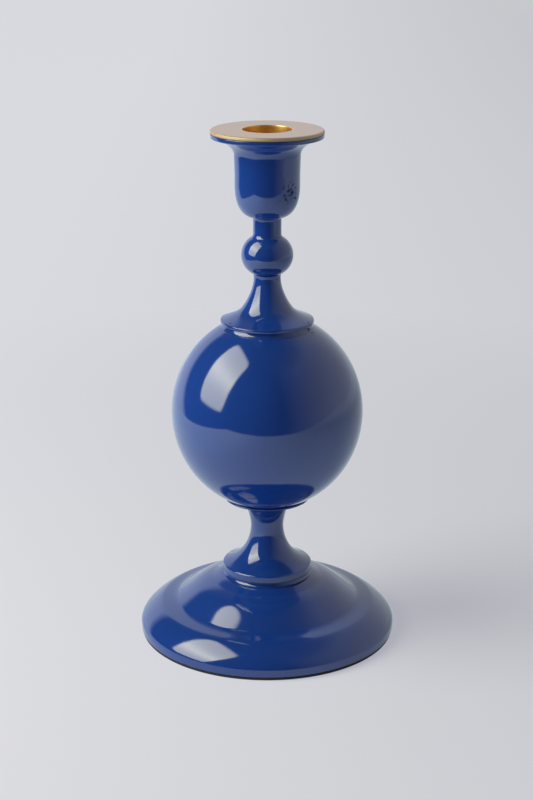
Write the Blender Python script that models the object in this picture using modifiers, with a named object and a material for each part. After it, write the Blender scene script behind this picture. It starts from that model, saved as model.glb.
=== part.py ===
"""Sphere candle holder: a turned, enamelled candlestick stacked on one tie rod.

From the table up: pad, domed foot, waisted pedestal, hollow ball, trumpet, knobbed stem and candle cup,
with a brass nozzle that lifts out of the cup. Sizes are millimetres, and heights run up from the table.
An outline is a list of (radius, height) points that runs down the outer side and back up the inner one.
A curve is four such points: it leaves the first towards the second and reaches the fourth from the third.
"""

import math

import bmesh
import bpy

MM = 0.001
GAP = 0.3
OUT, UP, DOWN, IN = 0, 90, -90, 180

# How finely things are turned and curved
ROUND_STEPS = 32
SMALL_STEPS = 20
BALL_STEPS = 18
HOLLOW_STEPS = 10
KNOB_STEPS = 9
LONG_CURVE = 7
SHORT_CURVE = 4
CORNER_STEPS = 2
SAME_POINT = 0.03

# Whole object
HEIGHT = 243.3
RIM_RADIUS = 25.9
FOOT_RADIUS = 61.35
BALL_RADIUS = 45.1
BALL_RISE = 47.0
BALL_CENTRE = 110.45

# Candle nozzle
SOCKET_RADIUS = 11.3
SOCKET_DEPTH = 25.0
NOZZLE_WALL = 1.2
NOZZLE_FLANGE = 1.65
NOZZLE_CORNER = 0.5

# Candle cup
CUP_BORE = 13.1
CUP_RIM_UNDER = 239.6
CUP_RIM_CORNER = 0.5
CUP_THROAT = ((24.5, CUP_RIM_UNDER), (19.6, 237.7), (15.1, 235.5), (15.3, 231.3))
CUP_SIDE = (15.05, 223.5)
CUP_BASE = 203.2
CUP_BOTTOM = ((15.05, 218.3), (15.05, 208.7), (11.7, 203.9), (6.85, CUP_BASE))
CUP_FLOOR = 208.3
CUP_FLOOR_RADIUS = 10.4
CUP_FLOOR_RISE = 3.0
CUP_SPIGOT = 4.85

# Knobbed stem
STEM_TOP = 202.9
STEM_BASE = 176.9
NECK_RADIUS = 6.55
NECK_FLARE = ((6.9, STEM_TOP), (6.65, 202.6), (NECK_RADIUS, 202.2), (NECK_RADIUS, 201.5))
KNOB_FILLET = ((NECK_RADIUS, 195.8), (NECK_RADIUS, 195.0), (6.8, 194.2), (7.66, 193.69))
KNOB_CENTRE = (2.4, 185.6)
KNOB_CURVE = 9.65
KNOB_START, KNOB_END = 57, -63
STEM_SPIGOT = 4.6

# Trumpet
TRUMPET_TOP = 176.6
TRUMPET_NECK = ((6.65, TRUMPET_TOP), (6.4, 176.4), (6.28, 175.9), (6.28, 175.0))
TRUMPET_FLARE = ((6.28, 175.0), (6.28, 169.9), (9.3, 163.9), (12.0, 160.5))
TRUMPET_SKIRT = ((12.0, 160.5), (13.75, 158.3), (16.8, 157.2), (21.3, 155.4))
FLANGE_RADIUS = 21.75
FLANGE_ROLL = ((21.3, 155.4), (21.6, 155.3), (FLANGE_RADIUS, 155.1), (FLANGE_RADIUS, 154.8))
FLANGE_SEAT = 153.7
FLANGE_CORNER = 0.3

# Ball and the rings that meet it
BALL_WALL = 1.5
POLE_HOLE = 7.0
DISH_CLEARANCE = 0.4
UPPER_RING_BORE = 20.2
UPPER_COVE = ((20.75, 153.4), (20.85, 152.8), (21.3, 152.4), (22.1, 152.05))
SEAT_CLEARANCE = 0.35
SEAT_RADIUS = 20.4
SEAT_DISH = 19.8
SEAT_CORNER = 0.42
SEAT_BASE = 63.0
SEAT_UNDER = ((19.95, 67.1), (15.5, 66.2), (12.2, 65.1), (10.6, SEAT_BASE))

# Pedestal
PEDESTAL_TOP = 62.7
PEDESTAL_NECK = ((10.5, PEDESTAL_TOP), (9.3, 61.4), (7.85, 56.1), (7.82, 52.7))
PEDESTAL_FLARE = ((7.82, 52.7), (7.82, 48.8), (9.0, 44.4), (11.6, 40.7))
PEDESTAL_SKIRT = ((11.6, 40.7), (13.1, 38.6), (15.8, 36.3), (20.75, 34.2))
PEDESTAL_FLANGE = 21.3
PEDESTAL_ROLL = ((20.75, 34.2), (21.1, 34.05), (PEDESTAL_FLANGE, 33.75), (PEDESTAL_FLANGE, 33.4))
PEDESTAL_BASE = 30.4
PEDESTAL_CORNER = 0.4
PEDESTAL_SPIGOT_TOP = 69.5
PEDESTAL_SPIGOT_BASE = 24.9

# Foot, the ring on it and what closes it
FOOT_TOP = 28.5
FOOT_RING_BORE = 12.0
FOOT_COVE = ((20.2, 30.1), (20.25, 29.4), (20.6, 29.1), (21.15, 28.95))
FOOT_HOLE = 10.0
FOOT_CREST = ((21.1, FOOT_TOP), (22.2, 28.4), (25.3, 26.67), (26.77, 26.18))
FOOT_DOME = ((26.77, 26.18), (34.04, 23.78), (35.52, 21.85), (43.32, 16.34))
FOOT_VALLEY = ((43.32, 16.34), (45.0, 15.15), (48.76, 14.93), (50.89, 14.36))
FOOT_SHOULDER = ((50.89, 14.36), (53.1, 13.76), (FOOT_RADIUS, 8.26), (FOOT_RADIUS, 4.41))
FOOT_CORNER = 0.5
FOOT_LEDGE = 55.6
FOOT_CEILING = 24.5
FOOT_INSIDE = ((54.8, 6.2), (50.5, 10.6), (42.0, 13.8), (38.0, 16.8), (31.0, 21.4), (25.5, 23.6))
FOOT_CEILING_RADIUS = 20.0
DISC_RADIUS = 57.6
DISC_THICK = 1.7
PAD_THICK = 1.2
PAD_RADIUS = 60.8
PAD_CORNER = 0.3
FOOT_BASE = PAD_THICK + GAP

# Tie rod and its fasteners
ROD_RADIUS = 3.0
ROD_HOLE = 3.4
ROD_BOTTOM = 11.5
ROD_TOP = 215.9
ROD_CHAMFER = 0.6
SPIGOT_CLEARANCE = 0.3
SPIGOT_CHAMFER = 0.5
SPIGOT_LENGTH = 3.7
SPIGOT_POCKET = 4.1
NUT_SIDES = 6
NUT_CORNERS = 5.77
NUT_HEIGHT = 5.0
WASHER_CORNER = 0.3
TOP_WASHER_RADIUS = 6.4
TOP_WASHER_THICK = 1.2
BOTTOM_WASHER_RADIUS = 16.0
BOTTOM_WASHER_THICK = 1.6
SPRING_RADIUS = 5.6
SPRING_THICK = 1.6
SPRING_SLOT = 1.0
SPRING_SLOT_LENGTH = 6.0

ENAMEL = ((0.010, 0.035, 0.165), 0.12, 0.0)
BRASS = ((0.60, 0.42, 0.18), 0.28, 1.0)
STEEL = ((0.45, 0.45, 0.46), 0.35, 1.0)
FOAM = ((0.02, 0.02, 0.022), 0.9, 0.0)
BOARD = ((0.20, 0.13, 0.08), 0.8, 0.0)


def arc(centre, radius, start, end, count=CORNER_STEPS):
    """Points on a circle, from one angle to another in degrees."""
    points = []
    for i in range(count + 1):
        angle = math.radians(start + (end - start) * i / count)
        points.append((centre[0] + radius * math.cos(angle), centre[1] + radius * math.sin(angle)))
    return points


def sweep(curve, count):
    """Points on a cubic curve."""
    points = []
    for i in range(count + 1):
        t = i / count
        s = 1 - t
        weights = (s * s * s, 3 * s * s * t, 3 * s * t * t, t * t * t)
        points.append(tuple(sum(w * p[k] for w, p in zip(weights, curve)) for k in (0, 1)))
    return points


def over_ball(radius, clearance):
    """Height of a surface that clears the top of the ball, at this radius."""
    return BALL_CENTRE + (BALL_RISE + clearance) * math.sqrt(1 - (radius / (BALL_RADIUS + clearance)) ** 2)


def under_ball(radius, clearance):
    """Height of a surface that clears the bottom of the ball, at this radius."""
    return 2 * BALL_CENTRE - over_ball(radius, clearance)


def along_ball(height_at, clearance, start, end):
    """Points that follow the ball from one radius to another."""
    radii = [start + (end - start) * i / SHORT_CURVE for i in range(SHORT_CURVE + 1)]
    return [(r, height_at(r, clearance)) for r in radii]


def joined(*runs):
    """One outline out of several runs of points, without a point that repeats the one before it."""
    outline = []
    for point in [p for run in runs for p in run]:
        if not outline or math.dist(point, outline[-1]) > SAME_POINT:
            outline.append(point)
    return outline


def clear_scene():
    for old in list(bpy.data.objects):
        bpy.data.objects.remove(old, do_unlink=True)


def collection(name):
    made = bpy.data.collections.new(name)
    bpy.context.scene.collection.children.link(made)
    return made


def finish(node, look):
    """A material of the node's own, from a colour, a roughness and a metallic value."""
    colour, roughness, metallic = look
    material = bpy.data.materials.new(node + "_finish")
    material.use_nodes = True
    shader = material.node_tree.nodes["Principled BSDF"]
    shader.inputs["Base Color"].default_value = (*colour, 1.0)
    shader.inputs["Roughness"].default_value = roughness
    shader.inputs["Metallic"].default_value = metallic
    return material


def place(obj, look, seat):
    """Puts a piece in the holder's collection, on the axis at its seat's height."""
    obj.data.materials.append(finish(obj.name, look))
    obj.location.z = seat * MM
    obj.parent = AXIS
    HOLDER.objects.link(obj)
    return obj


def turned(name, outline, look, seat, closed=True, steps=ROUND_STEPS):
    """A piece turned on the axis: a closed outline goes round a hole, an open one meets the axis."""
    mesh = bpy.data.meshes.new(name)
    points = [(r * MM, 0.0, (z - seat) * MM) for r, z in outline]
    count = len(points)
    edges = [(i, (i + 1) % count) for i in range(count if closed else count - 1)]
    mesh.from_pydata(points, edges, [])
    obj = bpy.data.objects.new(name, mesh)
    turn = obj.modifiers.new("Turn", "SCREW")
    turn.axis = "Z"
    turn.angle = math.tau
    turn.steps = steps
    turn.render_steps = steps
    turn.use_merge_vertices = True
    turn.merge_threshold = SAME_POINT * MM / 3
    turn.use_smooth_shade = True
    return place(obj, look, seat)


def cutter(name, build, seat):
    """A hidden shape that a Boolean takes away. build adds its faces to an empty bmesh."""
    mesh = bpy.data.meshes.new(name)
    shape = bmesh.new()
    build(shape)
    shape.to_mesh(mesh)
    shape.free()
    obj = bpy.data.objects.new(name, mesh)
    obj.location.z = seat * MM
    obj.hide_render = True
    obj.display_type = "WIRE"
    CUTTERS.objects.link(obj)
    return obj


def cut(obj, tool):
    away = obj.modifiers.new("Cut " + tool.name, "BOOLEAN")
    away.operation = "DIFFERENCE"
    away.solver = "EXACT"
    away.object = tool


def prism(shape, sides, radius, height):
    bmesh.ops.create_cone(
        shape,
        cap_ends=True,
        segments=sides,
        radius1=radius * MM,
        radius2=radius * MM,
        depth=height * MM,
    )


def nozzle():
    """Brass liner: a closed tube for the candle under a wide flange with a rounded edge."""
    floor = HEIGHT - SOCKET_DEPTH
    under = HEIGHT - NOZZLE_FLANGE
    outer = SOCKET_RADIUS + NOZZLE_WALL
    base = floor - NOZZLE_WALL
    corner = NOZZLE_CORNER
    edge = RIM_RADIUS - corner
    outline = joined(
        [(0, floor), (SOCKET_RADIUS - corner, floor), (SOCKET_RADIUS, floor + corner)],
        arc((SOCKET_RADIUS + corner, HEIGHT - corner), corner, IN, UP),
        arc((edge, HEIGHT - corner), corner, UP, OUT),
        arc((edge, under + corner), corner, OUT, DOWN),
        [(outer, under), (outer, base + corner), (outer - corner, base), (0, base)],
    )
    turned("nozzle", outline, BRASS, under, closed=False)


def cup():
    """Enamelled cup: flat rim, coved throat, straight side, rounded bottom and a spigot."""
    top = HEIGHT - NOZZLE_FLANGE - GAP
    edge = RIM_RADIUS - CUP_RIM_CORNER
    tip = CUP_BASE - SPIGOT_LENGTH
    outline = joined(
        [(CUP_BORE, top)],
        arc((edge, top - CUP_RIM_CORNER), CUP_RIM_CORNER, UP, OUT),
        arc((edge, CUP_RIM_UNDER + CUP_RIM_CORNER), CUP_RIM_CORNER, OUT, DOWN),
        sweep(CUP_THROAT, LONG_CURVE),
        [CUP_SIDE],
        sweep(CUP_BOTTOM, LONG_CURVE),
        [(CUP_SPIGOT, CUP_BASE), (CUP_SPIGOT, tip), (ROD_HOLE, tip), (ROD_HOLE, CUP_FLOOR)],
        [(CUP_FLOOR_RADIUS, CUP_FLOOR), (CUP_BORE, CUP_FLOOR + CUP_FLOOR_RISE)],
    )
    turned("cup", outline, ENAMEL, CUP_BASE)


def knob_stem():
    """Neck and knob in one piece, with a counterbore for the cup's spigot and a spigot below."""
    bore = CUP_SPIGOT + SPIGOT_CLEARANCE
    pocket = STEM_TOP - SPIGOT_POCKET
    tip = STEM_BASE - SPIGOT_LENGTH
    outline = joined(
        [(bore, STEM_TOP)],
        sweep(NECK_FLARE, SHORT_CURVE),
        sweep(KNOB_FILLET, SHORT_CURVE),
        arc(KNOB_CENTRE, KNOB_CURVE, KNOB_START, KNOB_END, KNOB_STEPS),
        [(STEM_SPIGOT, STEM_BASE), (STEM_SPIGOT, tip), (ROD_HOLE, tip), (ROD_HOLE, pocket), (bore, pocket)],
    )
    turned("knob_stem", outline, ENAMEL, STEM_BASE)


def trumpet():
    """Flared stem whose flange is dished underneath to clear the ball, with a spigot into its pole."""
    bore = STEM_SPIGOT + SPIGOT_CLEARANCE
    pocket = TRUMPET_TOP - SPIGOT_POCKET
    spigot = POLE_HOLE - SPIGOT_CLEARANCE
    rise = (FLANGE_SEAT - BALL_CENTRE) / (BALL_RISE + DISH_CLEARANCE)
    dish = (BALL_RADIUS + DISH_CLEARANCE) * math.sqrt(1 - rise**2)
    outline = joined(
        [(bore, TRUMPET_TOP)],
        sweep(TRUMPET_NECK, SHORT_CURVE),
        sweep(TRUMPET_FLARE, LONG_CURVE),
        sweep(TRUMPET_SKIRT, LONG_CURVE),
        sweep(FLANGE_ROLL, SHORT_CURVE),
        arc((FLANGE_RADIUS - FLANGE_CORNER, FLANGE_SEAT + FLANGE_CORNER), FLANGE_CORNER, OUT, DOWN),
        along_ball(over_ball, DISH_CLEARANCE, dish, spigot),
        [(spigot, FLANGE_SEAT), (ROD_HOLE, FLANGE_SEAT), (ROD_HOLE, pocket), (bore, pocket)],
    )
    turned("trumpet", outline, ENAMEL, FLANGE_SEAT)


def upper_ring():
    """Coved ring that fills the wedge between the trumpet's flange and the ball."""
    top = FLANGE_SEAT - GAP
    toe = UPPER_COVE[-1][0]
    outline = joined(
        [(UPPER_RING_BORE, top)],
        sweep(UPPER_COVE, SHORT_CURVE),
        along_ball(over_ball, GAP, toe, UPPER_RING_BORE),
    )
    turned("upper_ring", outline, ENAMEL, top)


def ball():
    """Hollow spun ball, a little taller than wide, with a round hole at each pole."""

    def side(wall, direction, count):
        radius = BALL_RADIUS - wall
        rise = BALL_RISE - wall
        pole = direction * math.degrees(math.acos(POLE_HOLE / radius))
        return [(r * radius, BALL_CENTRE + z * rise) for r, z in arc((0, 0), 1, pole, -pole, count)]

    turned("ball", side(0, 1, BALL_STEPS) + side(BALL_WALL, -1, HOLLOW_STEPS), ENAMEL, BALL_CENTRE)


def ball_seat():
    """Thin dish that the ball sits in, with a rounded rim."""
    outline = joined(
        along_ball(under_ball, SEAT_CLEARANCE, POLE_HOLE, SEAT_DISH),
        arc((SEAT_RADIUS - SEAT_CORNER, SEAT_UNDER[0][1] + SEAT_CORNER), SEAT_CORNER, UP, DOWN, SHORT_CURVE),
        sweep(SEAT_UNDER, LONG_CURVE),
        [(POLE_HOLE, SEAT_BASE)],
    )
    turned("ball_seat", outline, ENAMEL, SEAT_BASE)


def pedestal():
    """Waisted spool: a spigot up into the ball, a flared flange and a spigot down into the foot."""
    top = PEDESTAL_SPIGOT_TOP
    tip = PEDESTAL_SPIGOT_BASE
    upper = POLE_HOLE - SPIGOT_CLEARANCE
    lower = FOOT_HOLE - SPIGOT_CLEARANCE
    corner = (PEDESTAL_FLANGE - PEDESTAL_CORNER, PEDESTAL_BASE + PEDESTAL_CORNER)
    outline = joined(
        [(upper - SPIGOT_CHAMFER, top), (upper, top - SPIGOT_CHAMFER), (upper, PEDESTAL_TOP)],
        sweep(PEDESTAL_NECK, LONG_CURVE),
        sweep(PEDESTAL_FLARE, LONG_CURVE),
        sweep(PEDESTAL_SKIRT, LONG_CURVE),
        sweep(PEDESTAL_ROLL, SHORT_CURVE),
        arc(corner, PEDESTAL_CORNER, OUT, DOWN),
        [(lower, PEDESTAL_BASE), (lower, tip), (ROD_HOLE, tip), (ROD_HOLE, top)],
    )
    turned("pedestal", outline, ENAMEL, PEDESTAL_BASE)


def foot_ring():
    """Coved ring between the pedestal's flange and the foot's flat top."""
    base = FOOT_TOP + GAP
    outline = joined(
        [(FOOT_RING_BORE, FOOT_COVE[0][1])],
        sweep(FOOT_COVE, SHORT_CURVE),
        [(FOOT_COVE[-1][0], base), (FOOT_RING_BORE, base)],
    )
    turned("foot_ring", outline, ENAMEL, base)


def foot():
    """Hollow domed foot: flat top, dome, shallow valley, rounded shoulder and an upright lip."""
    recess = DISC_RADIUS + GAP
    ledge = FOOT_BASE + DISC_THICK + GAP
    outline = joined(
        [(FOOT_HOLE, FOOT_TOP)],
        sweep(FOOT_CREST, SHORT_CURVE),
        sweep(FOOT_DOME, LONG_CURVE),
        sweep(FOOT_VALLEY, LONG_CURVE),
        sweep(FOOT_SHOULDER, LONG_CURVE),
        arc((FOOT_RADIUS - FOOT_CORNER, FOOT_BASE + FOOT_CORNER), FOOT_CORNER, OUT, DOWN),
        [(recess, FOOT_BASE), (recess, ledge), (FOOT_LEDGE, ledge)],
        FOOT_INSIDE,
        [(FOOT_CEILING_RADIUS, FOOT_CEILING), (FOOT_HOLE, FOOT_CEILING)],
    )
    turned("foot", outline, ENAMEL, FOOT_BASE)


def base_disc():
    """Stiff disc let into the foot's lower edge to carry the pad."""
    top = FOOT_BASE + DISC_THICK
    outline = [(0, top), (DISC_RADIUS, top), (DISC_RADIUS, FOOT_BASE), (0, FOOT_BASE)]
    turned("base_disc", outline, BOARD, FOOT_BASE, closed=False)


def base_pad():
    """Thin pad that the holder stands on."""
    outline = [(0, PAD_THICK), (PAD_RADIUS - PAD_CORNER, PAD_THICK), (PAD_RADIUS, PAD_THICK - PAD_CORNER)]
    outline += [(PAD_RADIUS, 0), (0, 0)]
    turned("base_pad", outline, FOAM, 0, closed=False)


def tie_rod():
    """Rod on the axis with a chamfer at each end."""
    tip = ROD_RADIUS - ROD_CHAMFER
    outline = [(0, ROD_TOP), (tip, ROD_TOP), (ROD_RADIUS, ROD_TOP - ROD_CHAMFER)]
    outline += [(ROD_RADIUS, ROD_BOTTOM + ROD_CHAMFER), (tip, ROD_BOTTOM), (0, ROD_BOTTOM)]
    turned("tie_rod", outline, STEEL, ROD_BOTTOM, closed=False, steps=SMALL_STEPS)


def washer(name, radius, thickness, base):
    """Flat ring with its upper edge taken off."""
    top = base + thickness
    outline = [(ROD_HOLE, top), (radius - WASHER_CORNER, top), (radius, top - WASHER_CORNER)]
    outline += [(radius, base), (ROD_HOLE, base)]
    return turned(name, outline, STEEL, base, steps=SMALL_STEPS)


def spring_washer(base):
    """Washer with a slot through one side."""
    ring = washer("spring_washer", SPRING_RADIUS, SPRING_THICK, base)
    length = SPRING_SLOT_LENGTH * MM

    def slot(shape):
        made = bmesh.ops.create_cube(shape, size=length)["verts"]
        bmesh.ops.scale(shape, vec=(1, SPRING_SLOT / SPRING_SLOT_LENGTH, 1), verts=made)
        bmesh.ops.translate(shape, vec=(SPRING_RADIUS * MM, 0, 0), verts=made)

    cut(ring, cutter("washer_slot", slot, base))


def nut(name, base):
    """Hexagon nut with a plain bore that clears the rod."""
    middle = base + NUT_HEIGHT / 2
    mesh = bpy.data.meshes.new(name)
    shape = bmesh.new()
    prism(shape, NUT_SIDES, NUT_CORNERS, NUT_HEIGHT)
    shape.to_mesh(mesh)
    shape.free()
    obj = place(bpy.data.objects.new(name, mesh), STEEL, middle)
    bore = cutter(name + "_bore", lambda s: prism(s, SMALL_STEPS, ROD_HOLE, 2 * NUT_HEIGHT), middle)
    cut(obj, bore)


def fasteners():
    """Nuts and washers at both ends of the rod."""
    washer("top_washer", TOP_WASHER_RADIUS, TOP_WASHER_THICK, CUP_FLOOR + GAP)
    nut("top_nut", CUP_FLOOR + TOP_WASHER_THICK + 2 * GAP)
    plate = FOOT_CEILING - GAP - BOTTOM_WASHER_THICK
    spring = plate - GAP - SPRING_THICK
    washer("bottom_washer", BOTTOM_WASHER_RADIUS, BOTTOM_WASHER_THICK, plate)
    spring_washer(spring)
    nut("bottom_nut", spring - GAP - NUT_HEIGHT)


clear_scene()
HOLDER = collection("sphere_candle_holder")
CUTTERS = collection("cutters")
AXIS = bpy.data.objects.new("turning_axis", None)
HOLDER.objects.link(AXIS)
nozzle()
cup()
knob_stem()
trumpet()
upper_ring()
ball()
ball_seat()
pedestal()
foot_ring()
foot()
base_disc()
base_pad()
tie_rod()
fasteners()
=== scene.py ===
"""Looks of the sphere candle holder: glossy cobalt enamel, a satin brass nozzle and a pale studio stage.

Outlines are lists of (radius, height) points in millimetres, with heights up from the table. An outline runs
down the outer side of a piece and back up the inner one, and a Geometry Nodes tree turns it round the axis.
"""

import math

import bpy
from bpy.props import FloatProperty, FloatVectorProperty, IntProperty, PointerProperty
from mathutils import Matrix, Vector


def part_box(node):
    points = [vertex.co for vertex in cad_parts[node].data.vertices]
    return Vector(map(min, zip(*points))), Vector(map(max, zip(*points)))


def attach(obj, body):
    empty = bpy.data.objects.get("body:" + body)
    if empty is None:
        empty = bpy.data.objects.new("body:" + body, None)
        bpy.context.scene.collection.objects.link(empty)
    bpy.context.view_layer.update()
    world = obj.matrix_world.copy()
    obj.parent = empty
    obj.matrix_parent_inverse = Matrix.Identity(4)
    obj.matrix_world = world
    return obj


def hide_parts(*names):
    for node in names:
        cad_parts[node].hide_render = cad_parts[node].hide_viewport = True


bl_info = {
    "name": "Sphere candle holder",
    "version": (1, 0, 0),
    "blender": (4, 5, 0),
    "location": "View3D > Sidebar > Candle holder",
    "description": "Dresses the packed frame of an enamelled candle holder and sets its studio",
    "category": "Object",
}

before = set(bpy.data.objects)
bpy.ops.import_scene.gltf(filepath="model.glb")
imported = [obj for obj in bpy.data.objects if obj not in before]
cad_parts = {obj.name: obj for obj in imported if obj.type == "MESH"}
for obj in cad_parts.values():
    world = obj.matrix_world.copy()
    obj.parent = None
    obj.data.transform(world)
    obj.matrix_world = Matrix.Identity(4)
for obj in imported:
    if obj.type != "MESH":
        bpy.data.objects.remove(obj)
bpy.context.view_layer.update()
MM = 0.001


def reach(node):
    """Radius, bottom and top of a CAD node in millimetres."""
    low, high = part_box(node)
    return high.x / MM, low.z / MM, high.z / MM


RIM_RADIUS, NOZZLE_BASE, HEIGHT = reach("nozzle")
BALL_RADIUS, BALL_BASE, BALL_TOP = reach("ball")
BALL_CENTRE = (BALL_BASE + BALL_TOP) / 2
FOOT_RADIUS, FOOT_BASE, FOOT_TOP = reach("foot")
PAD_RADIUS, PAD_BASE = reach("base_pad")[:2]
SEAT_RADIUS, SEAT_BASE = reach("ball_seat")[:2]
OUT, UP, DOWN, IN = 0, 90, -90, 180
TOUCH = 0.05

# Brass nozzle
SOCKET_RADIUS = 11.3
SOCKET_DEPTH = 25.0
NOZZLE_WALL = 1.2
NOZZLE_CORNER = 0.7
SOCKET_LIP = 0.25
FLANGE_THICK = 1.65
FLANGE_TOP_ROUND = 1.1
FLANGE_ROUND = 0.35

# Cup
CUP_BORE = 13.1
CUP_TOP = 241.55
CUP_RIM_UNDER = 239.6
CUP_RIM_TOP_ROUND = 0.3
CUP_RIM_ROUND = 0.5
CUP_THROAT = ((24.5, CUP_RIM_UNDER), (19.6, 237.7), (15.1, 235.5), (15.3, 231.3))
CUP_SIDE = (15.05, 223.5)
CUP_BASE = 203.25
CUP_BOTTOM = ((15.05, 218.3), (15.05, 208.7), (11.7, 203.9), (6.85, CUP_BASE))
CUP_FLOOR = 208.3
CUP_FLOOR_RADIUS = 10.4
CUP_FLOOR_RISE = 3.0
CUP_SPIGOT = 4.85

# Knobbed stem and trumpet
STEM_TOP = 203.15
STEM_BASE = 176.9
NECK_RADIUS = 6.55
NECK_FLARE = ((6.92, STEM_TOP), (6.65, 202.8), (NECK_RADIUS, 202.4), (NECK_RADIUS, 201.7))
KNOB_FILLET = ((NECK_RADIUS, 195.8), (NECK_RADIUS, 195.0), (6.8, 194.2), (7.66, 193.69))
KNOB_CENTRE = (2.4, 185.6)
KNOB_CURVE = 9.65
KNOB_START, KNOB_END = 57, -63
STEM_SPIGOT = 4.6
SPIGOT_CLEARANCE = 0.3
SPIGOT_LENGTH = 3.7
SPIGOT_POCKET = 4.1
TRUMPET_TOP = 176.85
TRUMPET_NECK = ((6.72, TRUMPET_TOP), (6.42, 176.55), (6.28, 176.0), (6.28, 175.0))
TRUMPET_FLARE = ((6.28, 175.0), (6.28, 169.9), (9.3, 163.9), (12.0, 160.5))
TRUMPET_SKIRT = ((12.0, 160.5), (13.75, 158.3), (16.8, 157.2), (21.3, 155.4))
FLANGE_RADIUS = 21.75
FLANGE_ROLL = ((21.3, 155.4), (21.6, 155.3), (FLANGE_RADIUS, 155.1), (FLANGE_RADIUS, 154.8))
FLANGE_SEAT = 153.7
FLANGE_CORNER = 0.3

# Ball and the rings that meet it
BALL_WALL = 1.5
POLE_HOLE = 7.0
BALL_RISE = (BALL_TOP - BALL_BASE) / 2 / math.sqrt(1 - (POLE_HOLE / BALL_RADIUS) ** 2)
DISH_CLEARANCE = 0.4
UPPER_RING_BORE = 20.2
UPPER_COVE = ((20.75, 153.65), (20.85, 152.8), (21.3, 152.1), (22.1, 151.6))
SEAT_DISH = 19.75
SEAT_ROUND = 0.52
SEAT_UNDER = ((19.9, 67.1), (15.5, 66.2), (12.2, 65.1), (10.6, 63.0))

# Pedestal
PEDESTAL_TOP = 62.9
PEDESTAL_NECK = ((10.56, PEDESTAL_TOP), (9.34, 61.48), (7.85, 56.1), (7.82, 52.7))
PEDESTAL_FLARE = ((7.82, 52.7), (7.82, 48.8), (9.0, 44.4), (11.6, 40.7))
PEDESTAL_SKIRT = ((11.6, 40.7), (13.1, 38.6), (15.8, 36.3), (20.75, 34.2))
PEDESTAL_FLANGE = 21.3
PEDESTAL_ROLL = ((20.75, 34.2), (21.1, 34.05), (PEDESTAL_FLANGE, 33.75), (PEDESTAL_FLANGE, 33.4))
PEDESTAL_BASE = 30.4
PEDESTAL_CORNER = 0.4
PEDESTAL_SPIGOT_TOP = 69.5
PEDESTAL_SPIGOT_BASE = 24.9
SPIGOT_CHAMFER = 0.5

# Foot and the ring on it
FOOT_RING_BORE = 12.0
FOOT_COVE = ((20.2, 30.35), (20.25, 29.5), (20.6, 28.9), (21.15, 28.6))
FOOT_HOLE = 10.0
FOOT_CREST = ((21.1, FOOT_TOP), (22.2, 28.4), (25.3, 26.67), (26.77, 26.18))
FOOT_DOME = ((26.77, 26.18), (34.04, 23.78), (35.52, 21.85), (43.32, 16.34))
FOOT_VALLEY = ((43.32, 16.34), (45.0, 15.15), (48.76, 14.93), (50.89, 14.36))
FOOT_SHOULDER = ((50.89, 14.36), (53.1, 13.76), (FOOT_RADIUS, 8.26), (FOOT_RADIUS, 4.41))
FOOT_CORNER = 0.5
FOOT_RECESS = (57.9, 3.5)
FOOT_LEDGE = 55.6
FOOT_CEILING = 24.5
FOOT_CEILING_RADIUS = 20.0
FOOT_INSIDE = ((54.8, 6.2), (50.5, 10.6), (42.0, 13.8), (38.0, 16.8), (31.0, 21.4), (25.5, 23.6))
PAD_CORNER = 0.25

ROD_HOLE = 3.4
SHORT_CURVE = 12
LONG_CURVE = 32
CORNER_STEPS = 6
KNOB_STEPS = 48
BALL_STEPS = 180
DOUBLED = 0.0005
LATHE_GUIDE = 0.05
WELD = 0.000001
QUARTER_TURN = (math.pi / 2, 0.0, 0.0)


class HolderSizes(bpy.types.PropertyGroup):
    """How finely the pieces are turned."""

    segments: IntProperty(
        name="Segments",
        description="Steps round the axis of every turned piece",
        default=192,
        min=32,
        max=512,
    )
    outline_step: FloatProperty(
        name="Outline step",
        description="Longest straight step along an outline",
        default=0.0007,
        unit="LENGTH",
    )
    crease: FloatProperty(
        name="Crease angle",
        description="Edges that turn by more than this stay sharp",
        default=math.radians(38),
        subtype="ANGLE",
    )


class HolderFinish(bpy.types.PropertyGroup):
    """Colours and gloss of the finishes."""

    enamel: FloatVectorProperty(
        name="Enamel",
        description="Colour of the cobalt enamel",
        default=(0.009, 0.047, 0.292),
        subtype="COLOR",
        min=0.0,
        max=1.0,
    )
    enamel_gloss: FloatProperty(
        name="Enamel roughness",
        description="Roughness of the clean enamel",
        default=0.07,
        subtype="FACTOR",
    )
    flange: FloatVectorProperty(
        name="Flange",
        description="Colour of the nozzle's pale satin flange",
        default=(0.71, 0.535, 0.375),
        subtype="COLOR",
        min=0.0,
        max=1.0,
    )
    bore: FloatVectorProperty(
        name="Bore",
        description="Colour of the warm brass inside the nozzle",
        default=(0.92, 0.61, 0.22),
        subtype="COLOR",
        min=0.0,
        max=1.0,
    )
    pad: FloatVectorProperty(
        name="Pad",
        description="Colour of the foam pad under the foot",
        default=(0.021, 0.02, 0.021),
        subtype="COLOR",
        min=0.0,
        max=1.0,
    )


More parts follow.
